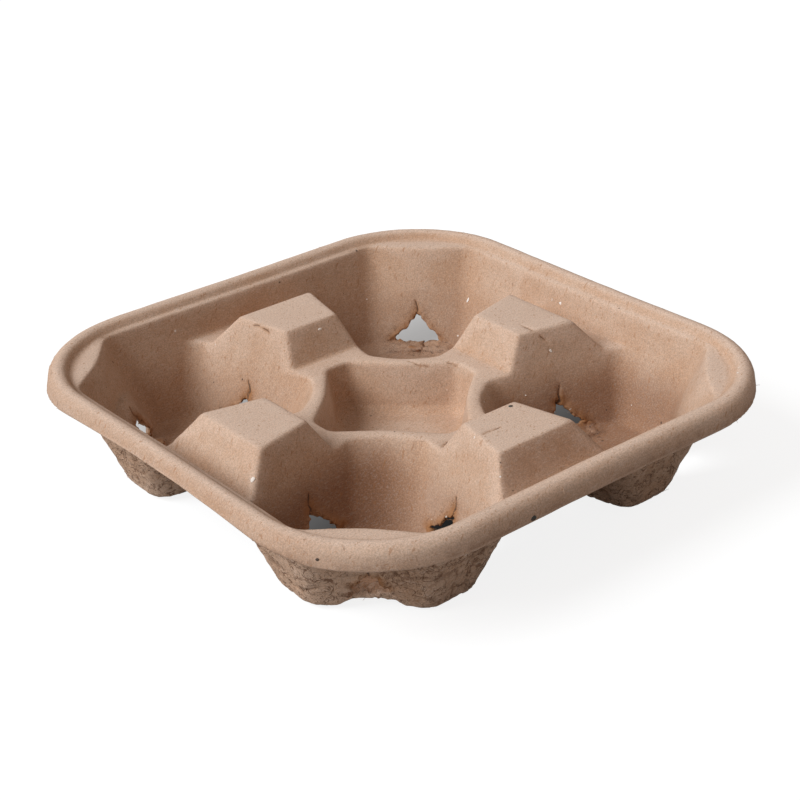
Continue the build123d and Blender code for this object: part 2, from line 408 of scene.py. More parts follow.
def settled(points, gap):
    """Boss openings sunk, the back one spread, the left one pulled in, the front step raised."""
    x, y, z = points[:, 0], points[:, 1], points[:, 2]
    out = points.copy()
    near = band(np.maximum(gap, 0), SETTLED_REACH)
    side = (y - x) * DIAGONAL
    height = np.clip((z - GAP_FOOT * MM) / (GAP_HEIGHT * MM), 0, 1)
    back = near * (x > BACK_CORNER * MM) * (y > BACK_CORNER * MM) * (np.abs(side) < BACK_CORNER * MM)
    spread = side * (BACK_SPREAD - BACK_CLOSING * height) * back
    out[:, 0] -= spread * DIAGONAL
    out[:, 1] += spread * DIAGONAL
    out[:, 2] -= (BACK_DROP + BACK_TOP_DROP * height) * MM * back * over(1, 5, z)
    bosses = near * (np.abs(np.abs(x) - np.abs(y)) > BOSS_SIDE * MM)
    out[:, 2] -= BOSS_TOP_DROP * MM * height * bosses
    across = (x + y) * DIAGONAL
    step = (x < 0) * (y < 0) * over(78, 88, -across)
    out[:, 2] += STEP_RISE * MM * step * over(12, 7, np.abs(side)) * over(9, 6, z)
    left = band(np.maximum(gap, 0), LEFT_REACH) * (x < -LEFT_CORNER * MM) * (y > LEFT_CORNER * MM)
    left = left * (np.abs(across) < LEFT_HALF * MM) * over(3, 8, z)
    out[:, 0] += LEFT_PULL * MM * left
    out[:, 1] -= LEFT_PULL * MM * left
    return out


# Half side and corner radius of the line that the bead follows round the tray
BEAD_HALF = 103.0
BEAD_CORNER = 46.5


def past_bead(points):
    """How far each point lies outside the bead's line as seen from above, negative inside it."""
    flat = np.abs(points[:, :2]) - (BEAD_HALF - BEAD_CORNER) * MM
    reach = np.hypot(np.maximum(flat[:, 0], 0), np.maximum(flat[:, 1], 0))
    return reach + np.minimum(flat.max(axis=1), 0) - BEAD_CORNER * MM


def creases(points):
    """Folds in the felted outside: 1 in a dark crease, 0 away from it."""
    bend = 1.3 * MM * clouds(points, 3.1 * MM, 61)
    wide = np.abs(cloud(points + bend, 5.2 * MM, 8))
    small = np.abs(cloud(points + bend, 2.7 * MM, 9))
    kept = smooth_step(-0.55, 0.10, cloud(points, 9.0 * MM, 14))
    return np.clip(smooth_step(0.14, 0.0, wide) + 0.5 * smooth_step(0.12, 0.0, small), 0, 1) * kept


# The pressed, uneven tray


# Lengths over which the tray has warped, in mm
WAIST_HALF = 80.0
SKIRT_HALF = 92.0
SKIRT_TOP = 41.5
SKIRT_FADE = 6.0
# Share of the waist that the feet take; the rim takes all of it
FEET_SHARE = 0.35


def hump(x, half):
    """1 in the middle, falling to 0 at the given half width in mm as a cosine does."""
    return np.cos(np.clip(x / (half * MM), -1, 1) * math.pi / 2)


def lived_in(points):
    """Slight warp of a real tray, kept inside the clean form's box."""
    x, y, z = points[:, 0], points[:, 1], points[:, 2]
    out = points.copy()
    half = SPAN / 2
    rim = over(28, 40, z)
    taken_in = FEET_SHARE + (1 - FEET_SHARE) * rim
    out[:, 0] -= np.sign(x) * (form().waist * hump(y, WAIST_HALF) ** 2) * over(60, 100, np.abs(x)) * taken_in
    out[:, 1] -= np.sign(y) * (form().waist * hump(x, WAIST_HALF) ** 2) * over(60, 100, np.abs(y)) * taken_in
    corner = over(95, 135, (y - x) * DIAGONAL) * rim
    out[:, 0] += form().tuck * corner
    out[:, 1] -= form().tuck * corner
    skirt = over(101, 104, -x) * (1 - over(38.5, SKIRT_TOP, z))
    lift = np.clip((SKIRT_TOP * MM - z) / (SKIRT_FADE * MM), 0, 1)
    out[:, 2] += form().skirt_lift * skirt * hump(y, SKIRT_HALF) ** 1.2 * lift
    out[:, 0] = np.clip(out[:, 0], -half, half)
    out[:, 1] = np.clip(out[:, 1], -half, half)
    return out


# Fewest points that the meshed tray can have
LEAST_POINTS = 20000
# Depth and half width of the thinning at the torn edges, of the cracks and of the scars, in mm
EDGE_THINNING, EDGE_WIDTH = 0.55, 1.6
CRACK_DEPTH, CRACK_WIDTH = 0.45, 0.45
SCAR_DEPTH, SCAR_WIDTH = 0.40, 0.50
# How much fainter a scar is drawn than a crack, in mm of distance
SCAR_FAINTNESS = 0.12
# Share of the fray that moves a torn edge's points
FRAY_SHARE = 0.6
# Width over which the inside of the bead turns into rim, in mm past the bead's line
RIM_START, RIM_END = -6.5, -4.5


def on_rim(past):
    return over(RIM_START, RIM_END, past)


def even_cells(source):
    """The clean form meshed anew in even cells, and the object that holds its modifiers."""
    work = bmesh.new()
    work.from_mesh(source)
    bmesh.ops.remove_doubles(work, verts=work.verts, dist=2e-6)
    work.to_mesh(source)
    work.free()
    draft = link(bpy.data.objects.new("tray draft", source))
    even = draft.modifiers.new("even cells", "REMESH")
    even.mode = "VOXEL"
    even.voxel_size = form().grain
    even.adaptivity = 0.0
    mesh = plain_copy(draft, "tray cells")
    if len(mesh.vertices) < LEAST_POINTS:
        raise RuntimeError("the tray didn't mesh")
    return draft, mesh


def felted(points, normals, edges, gap, split, scar):
    """Points moved by felt, creases, thinned torn edges, cracks and scars."""
    outside = np.clip(averaged(smooth_step(0.02, 0.20, -normals[:, 2]), edges, 6), 0, 1)
    felt = outside * (1 - on_rim(past_bead(points)))
    edge = np.where(gap > FAR / 2, 0, np.exp(-np.maximum(gap, 0) / (EDGE_WIDTH * MM)))
    lumps = 0.55 * cloud(points, 6.5 * MM, 3) + 0.45 * cloud(points, 2.6 * MM, 5)
    fine = cloud(points, 1.3 * MM, 12)
    rough = lumps + 0.40 * fine - 1.3 * creases(points)
    even_side = 0.7 * cloud(points, 9 * MM, 21) + 0.35 * fine
    shift = felt * form().outer_felt * rough + (1 - felt) * form().inner_felt * even_side
    shift -= EDGE_THINNING * MM * edge * (0.6 + 0.4 * cloud(points, 2.0 * MM, 31))
    shift -= CRACK_DEPTH * MM * band(split, CRACK_WIDTH)
    shift -= SCAR_DEPTH * MM * band(scar, SCAR_WIDTH)
    points = points + normals * shift[:, None]
    wander = clouds(points, 2.3 * MM, 41) + 0.8 * clouds(points, 1.2 * MM, 51)
    return points + wander * (form().fray * FRAY_SHARE * edge)[:, None]


def pressed_tray():
    """Mesh of the tray: the clean form, evened out, softened, warped, felted and frayed."""
    draft, mesh = even_cells(frame["nodes"]["pulp_tray"].data.copy())
    edges = edges_of(mesh)
    points = averaged(points_of(mesh), edges, form().soften, 0.5)
    put_points(mesh, points)
    gap, split = near_opening(points)
    scar = from_scars(points)
    points = felted(points, normals_of(mesh), edges, gap, split, scar)
    points = lived_in(settled(points, gap))
    for k in range(3):
        points[:, k] = np.clip(points[:, k], LOW[k], HIGH[k])
    put_points(mesh, points)
    give(mesh, "gap", gap)
    give(mesh, "crack", np.minimum(split, scar + SCAR_FAINTNESS * MM))
    draft.modifiers.clear()
    draft.data = mesh
    mesh.calc_loop_triangles()
    thin = draft.modifiers.new("fewer triangles", "DECIMATE")
    thin.ratio = min(1.0, form().triangles / len(mesh.loop_triangles))
    final = plain_copy(draft, "moulded pulp tray")
    bpy.data.objects.remove(draft)
    return final


# Reach of the damp stain and of the dark marks round a torn edge, in mm
STAIN_REACH = 4.2
MARKS_REACH = 6.5
# How far below an opening's foot the stain has faded, in mm, and how much of it fades
STAIN_FADE, STAIN_LOSS = 1.2, 0.55
# How much of each mark is missing from the outside, and on the step under the front foot
OUTSIDE_LOSS = 0.25
STEP_LOSS = 0.8
# Heights of the lines that the mould left: under the bead and below the ridges, in mm
HEM_LEVEL, HEM_WIDTH = 37.4, 0.35
PRESS_LEVELS, PRESS_WIDTH = (26.9, 25.3), 0.3
HEM_SHARE, PRESS_SHARE = 0.6, 0.28
# Width of a crack as it is painted, in mm
CRACK_PAINT = 0.55


def painted_shade_share(points, normals, level, along, past, outside):
    """Share of painted shade: low in the pockets, on one side of the front pocket, under the rim, on the rim
    at the -X side and on one boss face.
    """
    x, y, z = points[:, 0], points[:, 1], points[:, 2]
    front = (x < 0) * (y < 0)
    # Painted shadow on one side of the front pocket, where the boss beside it casts shade
    shady = front * over(-13, 5, (y - x) * DIAGONAL)
    low = over(30, 13, level - 3 * MM * shady) * over(30, 38, along + 3 * MM * shady)
    low *= (1 - outside) * (1 - 0.66 * over(-10, 10, y)) * (0.78 - 0.30 * front + 0.50 * shady)
    under_rim = over(42, 38, z) * over(1, 2.5, past) * (y < 40 * MM)
    left_rim = over(-90, -102, x) * over(0, 3, past)
    boss_face = (1 - outside) * (1 - on_rim(past)) * smooth_step(-0.35, -0.65, normals[:, 1])
    boss_face = boss_face * over(-66, -72, y) * (over(40, 25, np.abs(x)) * over(30, 34, z))
    return np.max([low, 0.34 * under_rim, 0.36 * boss_face, 0.22 * left_rim], axis=0)


def mould_lines(points, level, along, past, outside):
    """Dark lines in the surface: felt creases, the hem of the rim and the pressed rings by the well."""
    x, y = points[:, 0], points[:, 1]
    across = (np.abs(x) - np.abs(y)) * DIAGONAL
    hem = band(level - HEM_LEVEL * MM, HEM_WIDTH) * (past > 2.5 * MM) * (y < -60 * MM)
    rings = sum(band(level - height * MM, PRESS_WIDTH) for height in PRESS_LEVELS)
    rings = rings * (along < 47 * MM) * (along > 31 * MM) * over(15, 9, np.abs(across))
    felt = creases(points) * outside * (1 - on_rim(past))
    return np.max([felt, HEM_SHARE * hem, PRESS_SHARE * rings * (1 - outside)], axis=0)


def mark_tray(mesh):
    """Stores on each point what the pulp material needs: felt, tilt, torn edge, lines, hollow."""
    points, normals, edges = points_of(mesh), normals_of(mesh), edges_of(mesh)
    gap, split = taken(mesh, "gap"), taken(mesh, "crack")
    past = past_bead(points)
    x, y, z = points[:, 0], points[:, 1], points[:, 2]
    along = (np.abs(x) + np.abs(y)) * DIAGONAL
    level = z + 0.5 * MM * cloud(points, 11 * MM, 71)
    outside = np.clip(averaged(smooth_step(0.0, 0.2, -normals[:, 2]), edges, 4), 0, 1)
    step = (x < 0) * (y < 0) * over(80, 86, along) * over(11, 8, z)
    on_step = 1 - STEP_LOSS * step
    torn = np.where(gap > FAR / 2, 0, np.exp(-np.abs(gap) / (STAIN_REACH * MM)))
    torn = torn * (1 - OUTSIDE_LOSS * outside)
    torn *= 1 - STAIN_LOSS * over(GAP_FOOT, GAP_FOOT - STAIN_FADE, z)
    halo = np.where(gap > FAR / 2, 0, np.exp(-np.abs(gap) / (MARKS_REACH * MM))) * (1 - outside)
    # How hollow each point lies, for the painted shade in hollows and painted highlight on bulges
    wide = averaged(points, edges, 26, 0.6)
    hollow = np.einsum("ij,ij->i", wide - points, normals) / (1.0 * MM)
    # Painted top light: faces that point up, high on the tray or near its middle, are painted paler
    upward = smooth_step(0.80, 0.98, normals[:, 2]) * np.maximum(over(20, 34, z), 0.4 * over(38, 30, along))
    marks = {
        "felt": outside * (1 - on_rim(past)),
        "painted_top_light": averaged(upward, edges, 3),
        # Painted shade share for the pockets, under the rim, the rim at the -X side and one boss face
        "painted_shade": painted_shade_share(points, normals, level, along, past, outside) * on_step,
        "torn": np.clip(torn * on_step, 0, 1),
        "halo": np.clip(halo, 0, 1),
        "crease": np.clip(mould_lines(points, level, along, past, outside), 0, 1),
        "split": band(split, CRACK_PAINT),
        "hollow": np.clip(averaged(hollow, edges, 2), -1, 1),
    }
    for name, values in marks.items():
        give(mesh, name, values)


# Materials


class Nodes:
    """Short way to add nodes to a tree and join them."""

    def __init__(self, tree):
        self.tree = tree

    def node(self, kind, **values):
        made = self.tree.nodes.new(kind)
        for key, value in values.items():
            setattr(made, key, value)
        return made

    def join(self, source, target):
        self.tree.links.new(source, target)

    def feed(self, socket, value):
        """Joins an output to the socket, or writes a plain value into it."""
        if hasattr(value, "links"):
            self.join(value, socket)
        else:
            socket.default_value = value


class Wiring(Nodes):
    """Node tree of one material."""

    def __init__(self, name):
        self.material = bpy.data.materials.new(name)
        self.material.use_nodes = True
        super().__init__(self.material.node_tree)
        self.tree.nodes.clear()

    def maths(self, operation, a, b=None):
        made = self.node("ShaderNodeMath", operation=operation)
        self.feed(made.inputs[0], a)
        if b is not None:
            self.feed(made.inputs[1], b)
        return made.outputs[0]

    def times(self, a, b):
        return self.maths("MULTIPLY", a, b)

    def ramp(self, value, low, high, out_low=0.0, out_high=1.0):
        made = self.node("ShaderNodeMapRange", interpolation_type="SMOOTHSTEP")
        ends = {"From Min": low, "From Max": high, "To Min": out_low, "To Max": out_high}
        for name, number in ends.items():
            self.feed(made.inputs[name], number)
        self.feed(made.inputs["Value"], value)
        return made.outputs["Result"]

    def blend(self, factor, a, b):
        made = self.node("ShaderNodeMix", data_type="RGBA", blend_type="MIX")
        self.feed(made.inputs[0], factor)
        self.feed(made.inputs[6], a if hasattr(a, "links") else (*a, 1.0))
        self.feed(made.inputs[7], b if hasattr(b, "links") else (*b, 1.0))
        return made.outputs[2]

    def laid(self, colour, *layers):
        """The colour with layers over it, each a share, how strong it is at most and its tone."""
        for share, most, tone in layers:
            colour = self.blend(self.times(share, most), colour, tone)
        return colour

    def attribute(self, name):
        return self.node("ShaderNodeAttribute", attribute_name=name).outputs["Fac"]

    def place(self):
        return self.node("ShaderNodeTexCoord").outputs["Object"]

    def axes(self):
        """Object coordinates one by one, by their letter."""
        made = self.node("ShaderNodeSeparateXYZ")
        self.join(self.place(), made.inputs[0])
        return made.outputs

    def turned(self, vector, turn, scale=(1, 1, 1)):
        made = self.node("ShaderNodeMapping")
        self.join(vector, made.inputs["Vector"])
        made.inputs["Rotation"].default_value = turn
        made.inputs["Scale"].default_value = scale
        return made.outputs["Vector"]

    def noise(self, vector, scale, detail=3.0, roughness=0.55, distortion=0.0):
        made = self.node("ShaderNodeTexNoise")
        self.join(vector, made.inputs["Vector"])
        made.inputs["Scale"].default_value = scale
        made.inputs["Detail"].default_value = detail
        made.inputs["Roughness"].default_value = roughness
        made.inputs["Distortion"].default_value = distortion
        return made.outputs["Fac"]

    def cells(self, vector, scale):
        made = self.node("ShaderNodeTexVoronoi", feature="F1")
        self.join(vector, made.inputs["Vector"])
        made.inputs["Scale"].default_value = scale
        return made

    def surface(self, shader):
        end = self.node("ShaderNodeOutputMaterial")
        self.join(shader, end.inputs["Surface"])
        return self.material


FIBRE_TURNS = ((0.3, 0.2, 0.5), (1.1, 0.7, 2.0), (-0.6, 1.3, 1.1), (0.9, -0.8, 2.8))


def strands(wiring, place, scale, low, high):
    """Short streaks lying every way, as the fibres in pressed pulp do."""
    total = None
    for turn in FIBRE_TURNS:
        stretched = wiring.turned(place, turn, (scale * 0.20, scale, scale))
        streak = wiring.ramp(wiring.noise(stretched, 1.0, 1.0, 0.4, 0.35), low, high)
        total = streak if total is None else wiring.maths("MAXIMUM", total, streak)
    return total


def scattered(wiring, place, turn, scale, share, small, large):
    """Round bits of chance size in a share of the cells of a loose lattice."""
    bits_at = wiring.cells(wiring.turned(place, turn), scale)
    tone = wiring.node("ShaderNodeSeparateColor")
    wiring.join(bits_at.outputs["Color"], tone.inputs[0])
    chosen = wiring.maths("GREATER_THAN", tone.outputs[0], 1.0 - share)
    size = wiring.ramp(tone.outputs[1], 0.0, 1.0, small, large)
    return wiring.times(wiring.maths("LESS_THAN", bits_at.outputs["Distance"], size), chosen)


def cracked(wiring, place, scale, width):
    """Thin winding lines, 1 in the middle of a line."""
    bent = wiring.noise(place, scale, 2.0, 0.55, 0.9)
    return wiring.ramp(wiring.maths("ABSOLUTE", wiring.maths("SUBTRACT", bent, 0.5)), 0.0, width, 1.0, 0.0)


# Lumps of the pulp for each metre: broad patches, mottling, grain and the two sizes of folds
PATCHES, MOTTLE, GRAIN = 42.0, 240.0, 1900.0
WIDE_FOLDS, FINE_FOLDS = 170.0, 330.0
FINE_FOLD_WIDTH = 0.022
DARK_STRANDS = 1050.0
# How the bump is built: share of each pattern in it, its strength and its depth in metres
GRAIN_RELIEF, MOTTLE_RELIEF, STRAND_RELIEF, FELT_RELIEF, FOLD_RELIEF = 0.55, 0.45, 0.20, 1.6, 3.4
BUMP_STRENGTH = 0.60
BUMP_DEPTH = 0.00024
# Dull sheen of dry pulp
SPECULAR = 0.25


def pulpy_skin(w, colour, roughness, normal=None):
    """The material finished as a dull surface of the given colour."""
    skin = w.node("ShaderNodeBsdfPrincipled")
    w.join(colour, skin.inputs["Base Color"])
    w.feed(skin.inputs["Roughness"], roughness)
    if normal is not None:
        w.join(normal, skin.inputs["Normal"])
    skin.inputs["Specular IOR Level"].default_value = SPECULAR
    return w.surface(skin.outputs[0])


def pulp_ground(w, patches, mottle, grain):
    """Colour of the pulp before bits and lines: patches, painted top light on faces that point up, painted
    shade in hollows and painted highlight on bulges, painted shade low in the pockets and under the rim,
    grain.
    """
    c = colours()
    hollow = w.attribute("hollow")
    colour = w.blend(w.ramp(patches, 0.40, 0.66, 0.0, 0.7), c.body, c.warm)
    colour = w.laid(
        colour,
        (w.ramp(mottle, 0.42, 0.68), 0.30, c.warm),
        # Painted top light: paler grey on faces that point up
        (w.attribute("painted_top_light"), 0.80, c.grey),
        # Painted shade in hollows, warmer and darker, and painted highlight on bulges, paler
        (w.ramp(hollow, 0.10, 0.55), 0.42, c.warm),
        (w.ramp(hollow, -0.12, -0.55), 0.30, c.grey),
        (w.attribute("felt"), 0.25, c.warm),
        # Painted shade: darker, browner colour in the pockets, under the rim, on the rim's -X side and on
        # one boss face
        (w.attribute("painted_shade"), 0.85, c.painted_shade))
    bright = w.node("ShaderNodeHueSaturation")
    w.join(colour, bright.inputs["Color"])
    w.join(w.ramp(grain, 0.32, 0.68, 0.80, 1.19), bright.inputs["Value"])
    return bright.outputs["Color"]


def pulp_material():
    """Unbleached pulp: mottled, flecked and grainy, with felt folds, stains and cracks where marked."""
    c = colours()
    w = Wiring("unbleached pulp")
    place = w.place()
    felt, split = w.attribute("felt"), w.attribute("split")
    mottle = w.noise(place, MOTTLE, 4.0, 0.62)
    grain = w.noise(place, GRAIN, 3.0, 0.75)
    pale = strands(w, place, GRAIN, 0.62, 0.74)
    dark = strands(w, w.turned(place, (0.4, 0.9, 0.1)), DARK_STRANDS, 0.70, 0.77)
    fine_folds = cracked(w, place, FINE_FOLDS, FINE_FOLD_WIDTH)
    folds = w.maths("MAXIMUM", cracked(w, place, WIDE_FOLDS, 0.026), fine_folds)
    folds = w.times(w.times(folds, w.ramp(mottle, 0.36, 0.54)), felt)
    stain = w.times(w.ramp(w.attribute("torn"), 0.22, 0.78), w.ramp(mottle, 0.30, 0.60, 0.50, 1.0))

    colour = pulp_ground(w, w.noise(place, PATCHES, 3.0, 0.55), mottle, grain)
    colour = w.laid(
        colour,
        (pale, 0.09, c.fleck),
        (dark, 0.50, c.torn),
        (scattered(w, place, (0, 0, 0), 165.0, 0.16, 0.035, 0.085), 0.80, c.speck),
        (scattered(w, place, (0.2, 1.0, 0.4), 420.0, 0.30, 0.06, 0.20), 0.32, c.torn),
        (scattered(w, place, (0.5, 0.2, 0.9), 110.0, 0.16, 0.02, 0.050), 0.75, c.fleck),
        (w.attribute("crease"), w.ramp(mottle, 0.30, 0.60, 0.50, 0.80), c.fold),
        (w.times(w.ramp(mottle, 0.55, 0.72), felt), 0.50, c.grey),
        (folds, 0.90, c.fold),
        (w.times(fine_folds, w.ramp(w.attribute("halo"), 0.25, 0.75)), 0.75, c.speck),
        (stain, 0.95, c.torn),
        (w.ramp(split, 0.02, 0.60), 0.45, c.torn),
        (w.ramp(split, 0.45, 0.85), 0.85, c.speck))

    relief = w.maths("ADD", w.times(grain, GRAIN_RELIEF), w.times(mottle, MOTTLE_RELIEF))
    relief = w.maths("ADD", relief, w.times(pale, STRAND_RELIEF))
    relief = w.maths("ADD", relief, w.times(w.times(felt, mottle), FELT_RELIEF))
    relief = w.maths("SUBTRACT", relief, w.times(folds, FOLD_RELIEF))
    bump = w.node("ShaderNodeBump")
    bump.inputs["Strength"].default_value = BUMP_STRENGTH
    bump.inputs["Distance"].default_value = BUMP_DEPTH
    w.join(relief, bump.inputs["Height"])
    return pulpy_skin(w, colour, w.ramp(mottle, 0.3, 0.7, 0.86, 0.98), bump.outputs["Normal"])


def fibre_material(name, colour, other):
    """Loose fibres or scraps whose tone drifts between two colours."""
    w = Wiring(name)
    tone = w.noise(w.place(), 300.0, 2.0)
    return pulpy_skin(w, w.blend(w.ramp(tone, 0.35, 0.65), colour, other), 0.9)


# Geometry trees for the loose fibres and the flecks


class Growing(Nodes):
    """Geometry node tree that grows something on every point."""

    def __init__(self, name, inputs):
        super().__init__(bpy.data.node_groups.new(name, "GeometryNodeTree"))
        face = self.tree.interface
        face.new_socket("Geometry", in_out="INPUT", socket_type="NodeSocketGeometry")
        self.ids = {}
        for title, default in inputs.items():
            socket = face.new_socket(title, in_out="INPUT", socket_type="NodeSocketFloat")
            socket.default_value = default
            self.ids[title] = socket.identifier
        face.new_socket("Geometry", in_out="OUTPUT", socket_type="NodeSocketGeometry")
        self.start = self.tree.nodes.new("NodeGroupInput")
        self.end = self.tree.nodes.new("NodeGroupOutput")

    def random(self, low, high, seed, kind="FLOAT"):
        made = self.node("FunctionNodeRandomValue", data_type=kind)
        first = {"FLOAT": 2, "FLOAT_VECTOR": 0}[kind]
        made.inputs[first].default_value = low
        made.inputs[first + 1].default_value = high
        made.inputs["Seed"].default_value = seed
        return made.outputs[{"FLOAT": 1, "FLOAT_VECTOR": 0}[kind]]

    def stored(self, name, kind):
        made = self.node("GeometryNodeInputNamedAttribute", data_type=kind)
        made.inputs["Name"].default_value = name
        return made.outputs[0]

    def times(self, a, b):
        made = self.node("ShaderNodeMath", operation="MULTIPLY")
        self.join(a, made.inputs[0])
        self.join(b, made.inputs[1])
        return made.outputs[0]

    def stood(self, instance, scale):
        """The instance on every point, turned along the point's own direction, made real."""
        aim = self.node("FunctionNodeAlignRotationToVector", axis="Z")
        self.join(self.stored("lean", "FLOAT_VECTOR"), aim.inputs["Vector"])
        stand = self.node("GeometryNodeInstanceOnPoints")
        self.join(self.start.outputs["Geometry"], stand.inputs["Points"])
        self.join(instance, stand.inputs["Instance"])
        self.join(aim.outputs[0], stand.inputs["Rotation"])
        self.join(scale, stand.inputs["Scale"])
        real = self.node("GeometryNodeRealizeInstances")
        self.join(stand.outputs[0], real.inputs[0])
        return real.outputs[0]

    def jostled(self, geometry, scale, detail, amount):
        """The geometry with its points moved about by a noise."""
        chance = self.node("ShaderNodeTexNoise")
        chance.inputs["Scale"].default_value = scale
        chance.inputs["Detail"].default_value = detail
        centre = self.node("ShaderNodeVectorMath", operation="SUBTRACT")
        self.join(chance.outputs["Color"], centre.inputs[0])
        centre.inputs[1].default_value = (0.5, 0.5, 0.5)
        push = self.node("ShaderNodeVectorMath", operation="SCALE")
        self.join(centre.outputs[0], push.inputs[0])
        self.feed(push.inputs["Scale"], amount)
        move = self.node("GeometryNodeSetPosition")
        self.join(geometry, move.inputs["Geometry"])
        self.join(push.outputs[0], move.inputs["Offset"])
        return move.outputs[0]

    def close(self, geometry, material):
        """Ends the tree: instances made real, then the material."""
        whole = self.node("GeometryNodeRealizeInstances")
        self.join(geometry, whole.inputs[0])
        paint = self.node("GeometryNodeSetMaterial")
        paint.inputs["Material"].default_value = material
        self.join(whole.outputs[0], paint.inputs["Geometry"])
        self.join(paint.outputs[0], self.end.inputs[0])


# Size of the noise that bends fibres and tears scraps, for each metre, and how far it tears them
CURL = 420.0
TEAR = 2600.0
TEAR_DEPTH = 0.0006
FIBRE_POINTS = 6
FIBRE_SIDES = 4
# Shortest and longest fibre against a middling one
FIBRE_SPREAD = (0.45, 1.5)
# Least and most length, width and thickness of a scrap against its size
SCRAP_LEAST = (0.6, 0.5, 0.10)
SCRAP_MOST = (1.5, 1.0, 0.18)
FLECK_SIZE = 0.0006


def fibre_tree(material, seed):
    """One bent fibre on every point, leaning along the point's own direction."""
    g = Growing("fibres on points", {"Length": 0.002, "Radius": 0.0001, "Bend": 0.0005})
    line = g.node("GeometryNodeCurvePrimitiveLine", mode="DIRECTION")
    line.inputs["Direction"].default_value = (0, 0, 1)
    line.inputs["Length"].default_value = 1.0
    parts = g.node("GeometryNodeResampleCurve")
    parts.inputs["Count"].default_value = FIBRE_POINTS
    g.join(line.outputs[0], parts.inputs["Curve"])
    scale = g.times(g.start.outputs["Length"], g.random(*FIBRE_SPREAD, seed))
    standing = g.stood(parts.outputs[0], scale)
    along = g.node("GeometryNodeSplineParameter")
    amount = g.times(along.outputs["Factor"], g.start.outputs["Bend"])
    bent = g.jostled(standing, CURL, 1.0, amount)
    ring = g.node("GeometryNodeCurvePrimitiveCircle")
    ring.inputs["Resolution"].default_value = FIBRE_SIDES
    g.join(g.start.outputs["Radius"], ring.inputs["Radius"])
    tube = g.node("GeometryNodeCurveToMesh")
    tube.inputs["Fill Caps"].default_value = True
    g.join(bent, tube.inputs["Curve"])
    g.join(ring.outputs[0], tube.inputs["Profile Curve"])
    g.close(tube.outputs[0], material)
    return g


def fleck_tree(material, seed):
    """A small ragged scrap of paper on every point, flat on the surface."""
    g = Growing("flecks on points", {"Size": FLECK_SIZE})
    scrap = g.node("GeometryNodeMeshIcoSphere")
    scrap.inputs["Radius"].default_value = 1.0
    scrap.inputs["Subdivisions"].default_value = 2
    shape = g.node("ShaderNodeVectorMath", operation="SCALE")
    g.join(g.random(SCRAP_LEAST, SCRAP_MOST, seed, "FLOAT_VECTOR"), shape.inputs[0])
    g.join(g.times(g.start.outputs["Size"], g.stored("size", "FLOAT")), shape.inputs["Scale"])
    lying = g.stood(scrap.outputs[0], shape.outputs[0])
    g.close(g.jostled(lying, TEAR, 2.0, TEAR_DEPTH), material)
    return g


def grown(name, places, leans, tree, values, extra=None):
    """Plain mesh made by running a geometry tree over a set of points."""
    seeds = bpy.data.meshes.new(name + " seeds")
    seeds.from_pydata([tuple(p) for p in places], [], [])
    layer = seeds.attributes.new("lean", "FLOAT_VECTOR", "POINT")
    layer.data.foreach_set("vector", np.asarray(leans, dtype=np.float32).ravel())
    for title, numbers in (extra or {}).items():
        more = seeds.attributes.new(title, "FLOAT", "POINT")
        more.data.foreach_set("value", np.asarray(numbers, dtype=np.float32))
    holder = link(bpy.data.objects.new(name + " draft", seeds))
    run = holder.modifiers.new("grow", "NODES")
    run.node_group = tree.tree
    for title, value in values.items():
        run[tree.ids[title]] = value
    mesh = plain_copy(holder, name)
    bpy.data.objects.remove(holder)
    if not len(mesh.polygons):
        raise RuntimeError(name + " came out empty")
    points = points_of(mesh)
    for k in range(3):
        points[:, k] = np.clip(points[:, k], LOW[k], HIGH[k])
    put_points(mesh, points)
    return mesh


def finished(name, mesh, material=None):
    """Smooth object of the mesh that rides on the root."""
    obj = link(bpy.data.objects.new(name, mesh))
    if material is not None:
        mesh.materials.clear()
        mesh.materials.append(material)
    mesh.polygons.foreach_set("use_smooth", [True] * len(mesh.polygons))
    mesh.update()
    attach(obj, "root")
    return obj


# Operators, one for each piece


class PULP_OT_tray(bpy.types.Operator):
    """Press the tray: felted outside, smoother inside, frayed round its openings"""
    bl_idname = "pulp.tray"
    bl_label = "Press the tray"

    def execute(self, context):
        mesh = pressed_tray()
        mark_tray(mesh)
        tray = finished("moulded_pulp_tray", mesh, pulp_material())
        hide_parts("pulp_tray")
        return {"FINISHED"}


def tray_samples():
    """Points and normals of the dressed tray, to strew things over."""
    mesh = bpy.data.objects["moulded_pulp_tray"].data
    return points_of(mesh), normals_of(mesh)


# Least stain at which a loose fibre stands out of a torn edge
FRAYED = 0.80
# How far a fibre's root lies in the pulp, in metres: standing and lying
STANDING_ROOT, LYING_ROOT = 0.0002, 0.00002
# Spread of the standing fibres' directions, and their length and bend against a middling fibre's length
STANDING_SPREAD = 0.55
STANDING_SHARE = 0.6
# How far the lying fibres' tips lift, their thickness against a standing one, and their bend
LYING_LIFT = 0.05
LYING_THINNESS = 0.8
LYING_BEND = 0.25
# Least size of a fleck against FLECK_SIZE, and how much chance adds to it; large ones are rare
FLECK_LEAST, FLECK_MORE, FLECK_RARITY = 0.35, 0.5, 3


class PULP_OT_torn_fibres(bpy.types.Operator):
    """Stand loose fibres in the torn edges of the openings"""
    bl_idname = "pulp.torn_fibres"
    bl_label = "Add torn fibres"

    def execute(self, context):
        dice = np.random.default_rng(bits().seed)
        points, normals = tray_samples()
        torn = taken(bpy.data.objects["moulded_pulp_tray"].data, "torn")
        spots = np.flatnonzero(torn > FRAYED)
        picked = dice.choice(spots, min(len(spots), bits().torn_fibres), replace=False)
        lean = normals[picked] + dice.normal(0, STANDING_SPREAD, (len(picked), 3))
        lean /= np.linalg.norm(lean, axis=1)[:, None]
        c = colours()
        tree = fibre_tree(fibre_material("torn fibre", c.warm, c.torn), bits().seed)
        mesh = grown("torn fibres", points[picked] - normals[picked] * STANDING_ROOT, lean, tree,
                     {"Length": bits().fibre_length * STANDING_SHARE, "Radius": bits().fibre_radius,
                      "Bend": bits().fibre_length * STANDING_SHARE})
        finished("torn_fibres", mesh)
        return {"FINISHED"}


